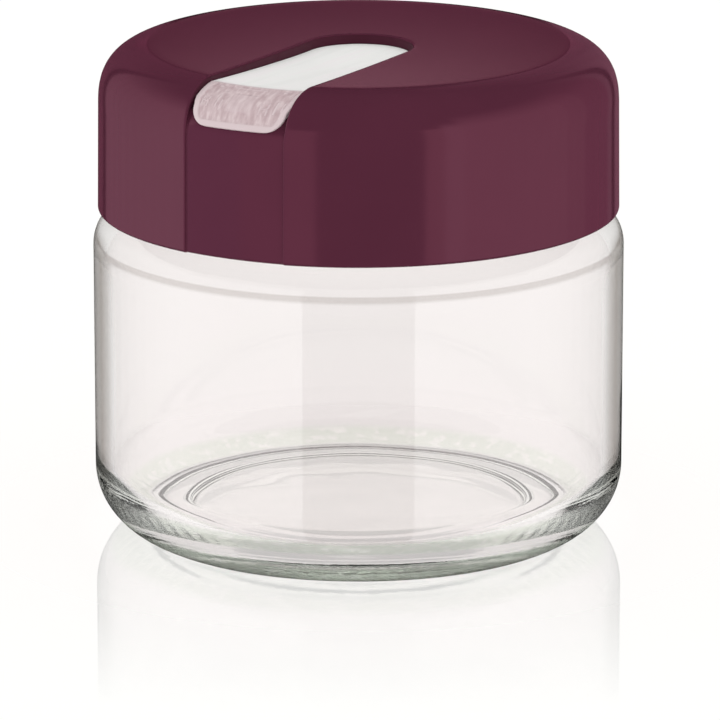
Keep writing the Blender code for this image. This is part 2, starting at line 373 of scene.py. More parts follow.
def make_lid():
    """The lid as one closed mesh: rings of skin, rim and inner wall, less the window's hole."""
    skin, wall = lid_rings()
    rings = skin + list(reversed(wall))
    points = [point for ring in rings for point in ring]
    count = len(rings[0])
    fan = len(FAN_COLUMNS)
    hole_columns = list(range(fan)) + list(range(count - fan, count))
    end = max(i for i, s in enumerate(STATIONS) if s[1] > HOLE_END)
    faces = []
    for row in range(len(rings) - 1):
        strip = ring_faces(row * count, (row + 1) * count, count)
        station = row if row < len(skin) else len(rings) - 2 - row
        if station < end:
            strip = [face for column, face in enumerate(strip) if column not in hole_columns]
        faces += strip
    edge = [((row, fan), (row + 1, fan)) for row in range(end)]
    edge += [((row + 1, count - fan), (row, count - fan)) for row in range(end)]
    edge += [((end, column), (end, column + 1)) for column in hole_columns]
    edge += [((0, column), (0, column + 1)) for column in range(fan, count - fan)]
    for step in edge:
        on_skin = [row * count + column % count for row, column in step]
        on_wall = [(len(rings) - 1 - row) * count + column % count for row, column in step]
        faces.append((*on_skin, *reversed(on_wall)))
    lid = piece_from("plum_lid", points, faces)
    # Each point carries how much painted shade the finish gives it in the window's track.
    paint(lid, "recess_shade", recess_shades(len(points), count))
    return lid


def paint(piece, name, shades):
    """Gives each point of a piece a number that its finish can read."""
    attribute = piece.data.attributes.new(name, "FLOAT", "POINT")
    attribute.data.foreach_set("value", shades)


def recess_shades(total, count):
    """1 in the track on top and 0 elsewhere, for each point: there the finish paints shade into the
    plastic.
    """
    shades = np.zeros(total)
    for row, station in enumerate(STATIONS):
        start, run = RECESS_ENDS
        steep = 1.0 - eased((station[4] - start) / run)
        for column, angle in enumerate(all_round(station[0])):
            if distance_from_wall(station[0], angle) < RECESS_RIM:
                shades[row * count + column] = steep
    return shades


def clean_mesh(piece, crease, merge=0.0):
    """Merges doubled points, drops unused ones, turns faces outward and keeps real edges crisp."""
    work = bmesh.new()
    work.from_mesh(piece.data)
    if merge > 0.0:
        bmesh.ops.remove_doubles(work, verts=work.verts, dist=merge)
    loose = [vert for vert in work.verts if not vert.link_faces]
    bmesh.ops.delete(work, geom=loose, context="VERTS")
    bmesh.ops.recalc_face_normals(work, faces=work.faces)
    open_edges = sum(1 for edge in work.edges if not edge.is_manifold)
    work.to_mesh(piece.data)
    work.free()
    piece.data.shade_smooth()
    piece.data.set_sharp_from_angle(angle=radians(crease))
    print(piece.name, "open edges:", open_edges)


plum_lid = make_lid()
clean_mesh(plum_lid, 50.0)

# %% [markdown]
# ## The window
#
# The window is a plate of clear plastic, frosted where it lies flat on top, that bends over the lid's
# edge and ends in a round-cornered tongue. Inside the tongue there is a shallow panel with small ribs
# and pegs, which give it its busy sparkle. It could be a bent Grid with a Solidify modifier, but rows of
# points that each know their own width give its round end, its bend and its tongue in one go.

# %% The window's rows, from its round end to the tip of its tongue
WINDOW_HALF = 0.00852
TONGUE_HALF = 0.0081
TONGUE_CORNER = 0.0031
ROW_POINTS = 150
WINDOW_EDGE = 0.00022
END_ROWS = 24
FLAT_GAP = 0.0006
TIP_HEIGHT = 0.0007
TIP_ROWS = 9
DOUBLED = 0.000002


def window_half(along, height):
    """Half the window's width at a row: round at its inner end, straight, round at its tip."""
    if along > 0.0:
        return sqrt(max(0.0, WINDOW_HALF ** 2 - along * along))
    above = height - WINDOW_BOTTOM
    if above < TONGUE_CORNER:
        left = TONGUE_CORNER - max(0.0, above)
        rounded = TONGUE_HALF - TONGUE_CORNER + sqrt(TONGUE_CORNER ** 2 - left * left)
        return min(WINDOW_HALF, rounded)
    opened = (above - TONGUE_CORNER) * (WINDOW_HALF - TONGUE_HALF) / 0.0012
    return min(WINDOW_HALF, TONGUE_HALF + opened)


def window_rows():
    """(radius, height, normal out, normal up, turn, half width) down the window's middle line."""
    rows = []
    for step in range(END_ROWS + 1):
        along = WINDOW_HALF * cos(0.5 * pi * step / END_ROWS)
        rows.append((-along, LID_TOP, 0.0, 1.0, 0.0, window_half(along, LID_TOP)))
    for along in spaced(0.0, CREST_RADIUS, FLAT_GAP)[1:]:
        rows.append((along, LID_TOP, 0.0, 1.0, 0.0, WINDOW_HALF))
    turn = CREST_TURN + 0.7
    while True:
        radius, height, out, up = edge_station(turn)
        if height < WINDOW_BOTTOM + TIP_HEIGHT:
            break
        rows.append((radius, height, out, up, turn, window_half(-radius, height)))
        turn += 0.8 if turn < 40.0 else 0.35
    for share in [1.0 - (step / TIP_ROWS) ** 2 for step in range(TIP_ROWS + 1)]:
        target = WINDOW_BOTTOM + TIP_HEIGHT * share
        low, high = 0.0, 90.0
        for _ in range(40):
            middle = 0.5 * (low + high)
            if edge_station(middle)[1] > target:
                low = middle
            else:
                high = middle
        radius, height, out, up = edge_station(low)
        rows.append((radius, height, out, up, low, max(0.0001, window_half(-radius, target))))
    return rows


ROWS = window_rows()
print("the window has", len(ROWS), "rows down to height", round(ROWS[-1][1] * 1000, 2), "mm")

# %% Relief on the window's tongue
PANEL_START = 0.0102
PANEL_EDGE = 0.0008
PANEL_SOFT = 0.0006
PANEL_SINK = 0.00014
TIP_RIM = 0.0009
RIM_SOFT = 0.0004
PAD_ACROSS = (-0.0023, 0.0024, 0.0004)
PAD_UP = (0.0028, 0.0076, 0.0005)
PAD_RISE = 0.00009
PAD_HIGHLIGHT = 0.35
RIB_RISE = 0.00013
RIB_SOFT = (0.00015, 0.00018)


def plateau(value, low, high, soft):
    """1 between low and high, 0 outside, with soft shoulders."""
    return eased((value - low) / soft) * eased((high - value) / soft)


RIBS = [
    (-0.0070, -0.0066, 0.0034, 0.0058), (-0.0060, -0.0056, 0.0034, 0.0058),
    (-0.0070, -0.0056, 0.0044, 0.0048), (-0.0044, -0.0040, 0.0034, 0.0066),
    (-0.0036, -0.0032, 0.0030, 0.0054), (0.0034, 0.0038, 0.0028, 0.0052),
    (0.0046, 0.0050, 0.0028, 0.0056), (0.0034, 0.0050, 0.0040, 0.0043),
    (0.0058, 0.0063, 0.0030, 0.0062), (0.0069, 0.0073, 0.0036, 0.0060),
    (-0.0026, 0.0026, 0.0093, 0.0097), (-0.0060, -0.0052, 0.0090, 0.0096),
    (0.0052, 0.0060, 0.0090, 0.0096), (-0.0044, -0.0032, 0.0074, 0.0077),
]


def tongue_parts(across, to_tip, from_rim):
    """0 to 1 at a place on the tongue: being within its rim, on its pad, and on each of its ribs."""
    within = eased((from_rim - PANEL_EDGE) / RIM_SOFT) * eased((to_tip - TIP_RIM) / RIM_SOFT)
    pad = plateau(across, *PAD_ACROSS) * plateau(to_tip, *PAD_UP)
    ribs = [
        plateau(across, left, right, RIB_SOFT[0]) * plateau(to_tip, start, end, RIB_SOFT[1])
        for left, right, start, end in RIBS
    ]
    return within, pad, ribs


def tongue_relief(across, to_tip, from_rim):
    """How far the tongue's face stands above its plain form: a sunk panel with ribs and a pad."""
    within, pad, ribs = tongue_parts(across, to_tip, from_rim)
    sunk = within * eased((PANEL_START - to_tip) / PANEL_SOFT)
    return sunk * (PAD_RISE * pad + RIB_RISE * sum(ribs) - PANEL_SINK)


def tongue_highlight(across, to_tip, from_rim):
    """1 on the tongue's rim and ribs, less on its pad and 0 on its panel: how much highlight the finish
    paints there.
    """
    within, pad, ribs = tongue_parts(across, to_tip, from_rim)
    inward = eased((to_tip - PANEL_START) / PANEL_SOFT)
    return max(1.0 - within, inward, PAD_HIGHLIGHT * pad, *ribs)


print("the tongue has", len(RIBS), "ribs and one pad")

# %% Make the window as a closed plate
PROUD_BELOW = 0.0780
PROUD_RUN = 0.0025
SEATED_ABOVE = 0.0750
SEATED_RUN = 0.0012
UNDER_GAP = 0.00004
FACE_LIFT = 0.00006


def window_point(row, to_tip, share, lower):
    """A point of the window's face, or of its underside, at a share of its width from -1 to 1."""
    radius, height, out, up, turn, half = row
    across = half * share
    from_rim = min(half * (1.0 - abs(share)), to_tip)
    if turn > 0.0:
        along = -sqrt(radius * radius - across * across)
    else:
        bow = CREST_RADIUS - sqrt(CREST_RADIUS ** 2 - across * across)
        along = -radius + bow * max(0.0, radius / CREST_RADIUS)
        radius = sqrt(across * across + along * along)
        height, out, up = dish_station(radius)
    depth = track_floor(radius, turn, across)
    on_tongue = eased((PROUD_BELOW - height) / PROUD_RUN)
    if lower:
        seated = eased((height - SEATED_ABOVE) / SEATED_RUN)
        depth += UNDER_GAP + (WINDOW_THICKNESS - UNDER_GAP) * seated
    else:
        inside = max(0.0, WINDOW_EDGE - from_rim)
        depth += WINDOW_EDGE - sqrt(WINDOW_EDGE ** 2 - inside * inside)
        depth -= FACE_LIFT + TONGUE_PROUD * on_tongue
        depth -= tongue_relief(across, to_tip, from_rim)
    forward = out * sqrt(max(0.0, 1.0 - (across / max(radius, 0.01)) ** 2))
    length = sqrt(forward * forward + up * up)
    return across, along + depth * forward / length, height - depth * up / length


def row_shares():
    """Places across a row, from -1 to 1, closer together near the rims."""
    return [sin(0.5 * pi * (2.0 * step / ROW_POINTS - 1.0)) for step in range(ROW_POINTS + 1)]


def make_window():
    """The window's face and underside, sewn together round their rim."""
    travel = 0.0
    travels = []
    for before, row in zip([ROWS[0]] + ROWS, ROWS):
        travel += sqrt((row[0] - before[0]) ** 2 + (row[1] - before[1]) ** 2)
        travels.append(travel)
    shares = row_shares()
    wide = len(shares)
    points = [
        window_point(row, travel - run, share, lower)
        for lower in (False, True) for row, run in zip(ROWS, travels) for share in shares
    ]
    shades = [
        tongue_highlight(row[5] * share, travel - run, min(row[5] * (1.0 - abs(share)), travel - run))
        for row, run in zip(ROWS, travels) for share in shares
    ]
    under = len(ROWS) * wide
    last = under - wide
    faces = []
    for a in (row * wide + step for row in range(len(ROWS) - 1) for step in range(wide - 1)):
        faces.append((a, a + wide, a + wide + 1, a + 1))
        faces.append((under + a, under + a + 1, under + a + wide + 1, under + a + wide))
    edge = [(a, a + wide) for row in range(0, last, wide) for a in (row, row + wide - 1)]
    edge += [(a, a + 1) for row in (0, last) for a in range(row, row + wide - 1)]
    faces += [(a, b, under + b, under + a) for a, b in edge]
    print("the window is", round(travel * 1000, 1), "mm long along its bend")
    window = piece_from("clear_window", points, faces)
    # Each point carries how much painted highlight the finish gives it on the tongue's rim and ribs.
    paint(window, "rim_highlight", shades + shades)
    return window


clear_window = make_window()
clean_mesh(clear_window, 50.0, DOUBLED)

# %% [markdown]
# ## The glass
#
# The jar is pressed soda glass: a thick heel and base, a wall under three millimetres, a round shoulder
# and a neck with a thread. Turned glass looks too perfect, and its charm lies in small faults. The ring
# that it stands on has grip marks all the way round, the base is slightly stippled by its mould, and the
# inside floor is a little wavy. All of these bend light, so they are made in the mesh.

# %% The glass's outline
GLASS_RADIUS = 0.04225
HEEL_RADIUS = 0.0109
HEEL_TOP = 0.0102
HEEL_TURN = 69.0
SHOULDER_ARC = 0.0056
SHOULDER_DROP = 0.0001
NECK_RADIUS = 0.0367
NECK_TOP = 0.0714
RIM_ROUND = 0.0011
STAND_OUTER = 0.0350
STAND_INNER = 0.0332
STAND_BEVEL = 0.0318
STAND_RISE = 0.0010
PUNT_RADIUS = 0.0268
PUNT_STEP = 0.0006
PUNT_CROWN = 0.0004
GLASS_WALL = 0.0028
FLOOR_HEIGHT = 0.0040
FLOOR_CROWN = 0.0005
INNER_HEEL = 0.0080
MOUTH_RADIUS = 0.0335
INNER_SHOULDER = 0.0061
INNER_WALL_TOP = 0.0439


def underside():
    """From the middle of the base out to the heel: raised middle, step, ring to stand on."""
    points = []
    for radius in spaced(0.0, PUNT_RADIUS, 0.0014):
        crown = PUNT_CROWN * (1.0 - (radius / PUNT_RADIUS) ** 2)
        points.append((radius, STAND_RISE + PUNT_STEP + crown))
    points += [(PUNT_RADIUS + 0.0003, STAND_RISE + 0.7 * PUNT_STEP)]
    points += [(radius, STAND_RISE) for radius in spaced(PUNT_RADIUS + 0.0008, STAND_BEVEL, 0.0012)]
    for radius in spaced(STAND_BEVEL + 0.0002, STAND_INNER, 0.0002):
        share = (radius - STAND_BEVEL) / (STAND_INNER - STAND_BEVEL)
        points.append((radius, STAND_RISE * (1.0 - eased(share))))
    points += [(radius, 0.0) for radius in spaced(STAND_INNER, STAND_OUTER, 0.0003)[1:]]
    return points


def outside():
    """From the heel up the wall, over the shoulder and up the neck to its rim."""
    heel_middle = (GLASS_RADIUS - HEEL_RADIUS, HEEL_TOP)
    shoulder_middle = (GLASS_RADIUS - SHOULDER_ARC, LID_BOTTOM - SHOULDER_DROP - SHOULDER_ARC)
    heel = arc(heel_middle, HEEL_RADIUS, -HEEL_TURN, 0.0, 36)
    wall = [(GLASS_RADIUS, height) for height in spaced(HEEL_TOP, shoulder_middle[1], 0.002)]
    shoulder = arc(shoulder_middle, SHOULDER_ARC, 0.0, 84.0, 18)
    neck_foot = shoulder[-1][1] + 0.0007
    neck = [(NECK_RADIUS, height) for height in spaced(neck_foot, NECK_TOP - RIM_ROUND, 0.0004)]
    rim = arc((NECK_RADIUS - RIM_ROUND, NECK_TOP - RIM_ROUND), RIM_ROUND, 0.0, 90.0, 6)
    return heel + wall[1:-1] + shoulder + neck[:-1] + rim


def inside():
    """From the rim down through the mouth, out under the shoulder and down to the floor."""
    rim = arc((MOUTH_RADIUS + RIM_ROUND, NECK_TOP - RIM_ROUND), RIM_ROUND, 90.0, 180.0, 6)
    radius = GLASS_RADIUS - GLASS_WALL
    top = INNER_WALL_TOP
    foot = top + INNER_SHOULDER
    mouth = [(MOUTH_RADIUS, height) for height in spaced(NECK_TOP - 0.0020, foot + 0.0012, 0.002)]
    mouth += [(MOUTH_RADIUS + 0.0002, foot + 0.0004)]
    shoulder = arc((radius - INNER_SHOULDER, top), INNER_SHOULDER, 80.0, 0.0, 20)
    wall = [(radius, height) for height in spaced(top, FLOOR_HEIGHT + INNER_HEEL, 0.002)][1:-1]
    heel = arc((radius - INNER_HEEL, FLOOR_HEIGHT + INNER_HEEL), INNER_HEEL, 0.0, -90.0, 30)
    floor = []
    for distance in spaced(heel[-1][0], 0.0, 0.0012)[1:]:
        crown = FLOOR_CROWN * (1.0 - (distance / heel[-1][0]) ** 2)
        floor.append((distance, FLOOR_HEIGHT + crown))
    return rim + mouth + shoulder + wall + heel + floor


GLASS_OUTLINE = underside() + outside() + inside()
print("the glass's outline has", len(GLASS_OUTLINE), "points")

# %% Grip marks, stipple and waves in the glass
GRIP_MARKS = 80
GRIP_DEPTH = 0.00005
GRIP_BAND = (0.0353, 0.0398)
MARK_SAMPLES = 6
GLASS_STEPS = GRIP_MARKS * MARK_SAMPLES
STIPPLE = 0.00001
WAVES = 0.00005
FLOOR_WAVE_SCALE = 130.0
WALL_WAVE_SCALE = 60.0
STIPPLE_SCALES = (750.0, 1600.0)
STIPPLE_UP_TO = 0.0055
BEAD_HEIGHT = 0.0015


def grip_lift(radius, height, angle):
    """How far the underside is pressed up between the grip marks."""
    band = plateau(radius, GRIP_BAND[0], GRIP_BAND[1], 0.0016)
    if band <= 0.0 or height > 0.0045:
        return 0.0
    return GRIP_DEPTH * band * (0.5 + 0.5 * cos(GRIP_MARKS * angle)) ** 1.5


def glass_point(radius, height, angle, inner):
    """A point of the glass: turned, with its marks, stipple, waves and thread."""
    spot = Vector((radius * cos(angle), radius * sin(angle), height))
    if inner:
        lift = WAVES * noise.noise(spot * FLOOR_WAVE_SCALE) * eased((0.030 - height) / 0.012)
        swell = WAVES * noise.noise(spot * WALL_WAVE_SCALE + Vector((5.0, 1.0, 2.0)))
        return radius + swell * eased(radius / 0.02), height + lift
    lift = grip_lift(radius, height, angle)
    if radius > 0.0300 and height < STIPPLE_UP_TO:
        coarse, fine = (noise.noise(spot * scale) for scale in STIPPLE_SCALES)
        lift += STIPPLE * (coarse + 0.5 * fine + 1.2) * eased((STIPPLE_UP_TO - height) / 0.002)
    if height > LID_BOTTOM:
        around = angle * 180.0 / pi
        radius += BEAD_HEIGHT * thread_relief(around, height, THREAD_TOP)
    return radius, height + lift


def make_glass():
    """Turns the outline, bends it point by point, and closes it at its two middles."""
    first_inner = len(underside()) + len(outside())
    points = []
    rings = []
    for index, (radius, height) in enumerate(GLASS_OUTLINE):
        inner = index >= first_inner
        if radius == 0.0:
            rings.append([len(points)])
            points.append((0.0, 0.0, height))
            continue
        rings.append(list(range(len(points), len(points) + GLASS_STEPS)))
        for step in range(GLASS_STEPS):
            angle = 2.0 * pi * step / GLASS_STEPS
            out, up = glass_point(radius, height, angle, inner)
            points.append((out * cos(angle), out * sin(angle), up))
    faces = []
    for below, above in zip(rings, rings[1:]):
        for step in range(GLASS_STEPS):
            after = (step + 1) % GLASS_STEPS
            if len(below) == 1:
                faces.append((below[0], above[after], above[step]))
            elif len(above) == 1:
                faces.append((below[step], below[after], above[0]))
            else:
                faces.append((below[step], below[after], above[after], above[step]))
    return piece_from("pressed_glass", points, faces)


pressed_glass = make_glass()
clean_mesh(pressed_glass, 60.0, DOUBLED)

# %% [markdown]
# ## Finishes
#
# Each finish is a small node tree on one Principled shader. Colour, roughness and relief come from noise
# and from places in the object's own space, so they stay put on the piece. Whatever is the same all
# over, such as the index of refraction or the tint of the gloss, is typed into the shader's own socket.

# %% Helpers for finishes
def new_finish(name):
    """A material with its Principled shader, its node tree and the piece's own coordinates."""
    finish = bpy.data.materials.new(name)
    finish.use_nodes = True
    tree = finish.node_tree
    shader = tree.nodes["Principled BSDF"]
    place = tree.nodes.new("ShaderNodeTexCoord")
    return finish, tree, shader, place.outputs["Object"]


def noise_of(tree, place, scale, detail, stretch=(1.0, 1.0, 1.0)):
    """A noise texture's value; scale counts blobs in a metre."""
    mapping = tree.nodes.new("ShaderNodeMapping")
    mapping.inputs["Scale"].default_value = stretch
    texture = tree.nodes.new("ShaderNodeTexNoise")
    texture.inputs["Scale"].default_value = scale
    texture.inputs["Detail"].default_value = detail
    tree.links.new(place, mapping.inputs["Vector"])
    tree.links.new(mapping.outputs["Vector"], texture.inputs["Vector"])
    return texture.outputs["Fac"]


def ramp_of(tree, value, stops):
    """A colour for each value: stops are (value, colour)."""
    ramp = tree.nodes.new("ShaderNodeValToRGB")
    elements = ramp.color_ramp.elements
    while len(elements) < len(stops):
        elements.new(0.5)
    for element, (position, colour) in zip(elements, stops):
        element.position = position
        element.color = (*colour, 1.0)
    tree.links.new(value, ramp.inputs["Fac"])
    return ramp.outputs["Color"]


def range_of(tree, value, low, high, from_low=0.0, from_high=1.0):
    """Maps a value onto a range."""
    node = tree.nodes.new("ShaderNodeMapRange")
    node.inputs["From Min"].default_value = from_low
    node.inputs["From Max"].default_value = from_high
    node.inputs["To Min"].default_value = low
    node.inputs["To Max"].default_value = high
    tree.links.new(value, node.inputs["Value"])
    return node.outputs["Result"]


def rising(tree, value, start, end):
    """0 up to a start and 1 from an end on."""
    return range_of(tree, value, 0.0, 1.0, start, end)


def falling(tree, value, start, end):
    """1 up to a start and 0 from an end on."""
    return range_of(tree, value, 1.0, 0.0, start, end)


def combined(tree, first, second, operation):
    """Combines two values by a math operation, such as MULTIPLY or MAXIMUM."""
    node = tree.nodes.new("ShaderNodeMath")
    node.operation = operation
    tree.links.new(first, node.inputs[0])
    tree.links.new(second, node.inputs[1])
    return node.outputs["Value"]


def product_of(tree, first, second):
    """Multiplies two values."""
    return combined(tree, first, second, "MULTIPLY")


def mixed(tree, share, first, second):
    """Goes from a first colour to a second, typed in or from a node, as share goes from 0 to 1."""
    mix = tree.nodes.new("ShaderNodeMix")
    mix.data_type = "RGBA"
    if isinstance(second, tuple):
        mix.inputs["B"].default_value = (*second, 1.0)
    else:
        tree.links.new(second, mix.inputs["B"])
    tree.links.new(share, mix.inputs["Factor"])
    tree.links.new(first, mix.inputs["A"])
    return mix.outputs["Result"]


def painted(tree, name):
    """The number that each point of the piece was given under a name."""
    node = tree.nodes.new("ShaderNodeAttribute")
    node.attribute_name = name
    return node.outputs["Fac"]


def distance_from_axis(tree, place):
    """How far a point lies from the jar's axis, in metres."""
    flatten = tree.nodes.new("ShaderNodeVectorMath")
    flatten.operation = "MULTIPLY"
    flatten.inputs[1].default_value = (1.0, 1.0, 0.0)
    length = tree.nodes.new("ShaderNodeVectorMath")
    length.operation = "LENGTH"
    tree.links.new(place, flatten.inputs[0])
    tree.links.new(flatten.outputs["Vector"], length.inputs[0])
    return length.outputs["Value"]


def relief_from(tree, shader, value, strength, distance):
    """Turns a value into fine relief on the shader's normal."""
    bump = tree.nodes.new("ShaderNodeBump")
    bump.inputs["Strength"].default_value = strength
    bump.inputs["Distance"].default_value = distance
    tree.links.new(value, bump.inputs["Height"])
    tree.links.new(bump.outputs["Normal"], shader.inputs["Normal"])


print("finishes are made with Blender", bpy.app.version_string)

# %% [markdown]
# The lid is dyed through in a deep plum and comes out of a polished mould, so it has a smooth, quiet
# gloss. Its reflections are tinted by the dye just under the surface. In the track light is caught
# between plum walls, so the plastic looks deeper and duller there. Tracing many bounces would show that
# too, but slowly and with noise. So that shade is painted instead: the points of the track carry a
# number, which the finish reads to darken the plastic's colour and dull its gloss.

# %% Plum plastic
PLUM = (0.092, 0.0218, 0.0422)
RECESS_SHADE = (0.052, 0.007, 0.020)
RECESS_DULL = 0.62
GLOSS_INDEX = 1.5
GLOSS_TINT = (1.0, 0.42, 0.55)


def plum_plastic():
    """Deep plum moulded plastic with a smooth tinted gloss, and painted shade in the window's track."""
    finish, tree, shader, place = new_finish("plum_plastic")
    cloud = noise_of(tree, place, 90.0, 2.0)
    darker = tuple(0.975 * channel for channel in PLUM)
    lighter = tuple(1.025 * channel for channel in PLUM)
    skin = ramp_of(tree, cloud, [(0.3, darker), (0.7, lighter)])
    # Painted shade: the track's plastic is darker and duller, for the light caught between its walls.
    recess = painted(tree, "recess_shade")
    skin = mixed(tree, recess, skin, RECESS_SHADE)
    tree.links.new(skin, shader.inputs["Base Color"])
    fine = noise_of(tree, place, 2600.0, 2.0)
    polish = range_of(tree, fine, 0.10, 0.15, 0.3, 0.7)
    dull = range_of(tree, recess, 0.0, RECESS_DULL)
    tree.links.new(combined(tree, polish, dull, "MAXIMUM"), shader.inputs["Roughness"])
    relief_from(tree, shader, fine, 0.03, 0.00002)
    shader.inputs["IOR"].default_value = GLOSS_INDEX
    shader.inputs["Specular Tint"].default_value = (*GLOSS_TINT, 1.0)
    return finish


plum_lid.data.materials.append(plum_plastic())
print("plum plastic:", PLUM)

# %% [markdown]
# The glass is clear. Only where light runs a long way through it, as in the heel and along its outline,
# does it turn green and grey. A volume that absorbs follows the true thickness, so the glass has one,
# but in so small a jar it stays weak. So the skin is tinted too: by height and by distance from the
# axis in the heel and the base, and along the outline by how steeply it is seen, which Layer Weight
# tells. That warm grey on the outline is partly this tint and partly painted shade, and a painted grey
# line round the shoulder stands for the lid's dark rim seen through the glass. Light is tinted twice at
# each wall, on its way in and out.

# %% The tint of the glass's skin
GLASS_HUES = ((0.3, (0.944, 0.918, 0.920)), (0.7, (0.948, 0.922, 0.924)))
EDGE_GREY_AND_SHADE = (0.17, 0.125, 0.095)
EDGE_SHARES = ((0.635, 0.0), (0.650, 0.12), (0.68, 0.42), (0.70, 0.52), (0.78, 0.80), (0.84, 0.60))
EDGE_FROM = (0.006, 0.012)
OUTER_SKIN = (0.0400, 0.0410)
HEEL_GREEN = (0.79, 0.850, 0.745)
HEEL_PALE = (0.97, 0.98, 0.93)
HEEL_UP_TO = (0.0030, 0.0042)
HEEL_FROM = (0.0350, 0.0362)
SHOULDER_WHITE = (1.0, 0.975, 0.975)
SHOULDER_FROM = (0.0480, 0.0495)
SHOULDER_LINE = (0.0462, 0.0474)
PAINTED_LINE_GREY = (0.60, 0.56, 0.545)
DISC_WHITE = (0.992, 0.976, 0.966)
DISC_UP_TO = (0.0060, 0.0075)
DISC_OUT_TO = (0.0295, 0.0310)


def heel_share(tree, height, far):
    """1 on the round of the heel close to the floor, outside the ring that the jar stands on."""
    return product_of(tree, falling(tree, height, *HEEL_UP_TO), rising(tree, far, *HEEL_FROM))


def outline_share(tree, height, far):
    """How grey the outer skin looks where it is seen steeply, from a share for each slant: partly the
    glass's own tint, partly painted shade.
    """
    slant = tree.nodes.new("ShaderNodeLayerWeight").outputs["Facing"]
    greys = ramp_of(tree, slant, [(slope, (share, share, share)) for slope, share in EDGE_SHARES])
    outer = product_of(tree, rising(tree, height, *EDGE_FROM), rising(tree, far, *OUTER_SKIN))
    return product_of(tree, greys, outer)


def painted_shoulder_line(tree, height, far):
    """1 on the thin ring where the wall begins to turn into the shoulder, where a grey line is painted
    for the lid's dark rim seen through the glass.
    """
    start, end = SHOULDER_LINE
    ring = product_of(
        tree, rising(tree, height, start, start + 0.0005), falling(tree, height, end, end + 0.0002)
    )
    return product_of(tree, ring, rising(tree, far, 0.0414, 0.0416))


def glass_tint(tree, place, height, far):
    """The glass's colour from place to place, with painted shade on its outline and a painted line on
    its shoulder.
    """
    tint = ramp_of(tree, noise_of(tree, place, 60.0, 2.0), GLASS_HUES)
    # Partly painted shade: the outline is tinted a warm grey where it is seen steeply.
    tint = mixed(tree, outline_share(tree, height, far), tint, EDGE_GREY_AND_SHADE)
    heel = heel_share(tree, height, far)
    tint = mixed(tree, heel, tint, HEEL_GREEN)
    blobs = range_of(tree, noise_of(tree, place, 480.0, 3.0), 0.0, 0.9, 0.52, 0.64)
    tint = mixed(tree, product_of(tree, blobs, heel), tint, HEEL_PALE)
    # Painted reflection: a grey line round the shoulder stands for the lid's dark rim seen through the
    # glass.
    tint = mixed(tree, painted_shoulder_line(tree, height, far), tint, PAINTED_LINE_GREY)
    tint = mixed(tree, rising(tree, height, *SHOULDER_FROM), tint, SHOULDER_WHITE)
    disc = product_of(tree, falling(tree, height, *DISC_UP_TO), falling(tree, far, *DISC_OUT_TO))
    return mixed(tree, disc, tint, DISC_WHITE)


print("the outline's tint is", EDGE_GREY_AND_SHADE, "and the heel's", HEEL_GREEN)

# %% Clear glass
GLASS_DENSITY = 6.0
STIPPLED_UP_TO = (0.0020, 0.0050)
STIPPLED_FROM = (0.0335, 0.0345)


def clear_glass():
    """Clear soda glass, tinted on its skin and faintly green inside, with a stippled heel."""
    finish, tree, shader, place = new_finish("clear_glass")
    split = tree.nodes.new("ShaderNodeSeparateXYZ")
    tree.links.new(place, split.inputs["Vector"])
    height = split.outputs["Z"]
    far = distance_from_axis(tree, place)
    tree.links.new(glass_tint(tree, place, height, far), shader.inputs["Base Color"])
    low = falling(tree, height, *STIPPLED_UP_TO)
    stippled = product_of(tree, low, rising(tree, far, *STIPPLED_FROM))
    tree.links.new(range_of(tree, stippled, 0.0, 0.12), shader.inputs["Roughness"])
    grain = product_of(tree, noise_of(tree, place, 1300.0, 3.0), stippled)
    relief_from(tree, shader, grain, 0.25, 0.0002)
    shader.inputs["IOR"].default_value = 1.5
    shader.inputs["Transmission Weight"].default_value = 1.0
    depth = tree.nodes.new("ShaderNodeVolumeAbsorption")
    depth.inputs["Color"].default_value = (0.70, 0.80, 0.70, 1.0)
    depth.inputs["Density"].default_value = GLASS_DENSITY
    tree.links.new(depth.outputs["Volume"], tree.nodes["Material Output"].inputs["Volume"])
    return finish


pressed_glass.data.materials.append(clear_glass())
print("glass absorbs with density", GLASS_DENSITY)

# %% [markdown]
# The window is one plastic with two looks. Flat on top it is frosted and catches the white of the room,
# with faint streaks along its length. Bent over the edge it is clearer and shows streaks from its
# moulding. The pink cast that it takes there from the lid round it is painted into its colour, and so
# are paler highlights on its rim and ribs. The two looks are mixed by how far out a point lies, and the
# painted highlights by a number that the window's points carry.

# %% Clear and frosted window plastic
FROST_END = (0.0322, 0.0336)
FROST = (0.985, 0.995, 0.985)
RIM_HIGHLIGHT = (0.815, 0.680, 0.705)


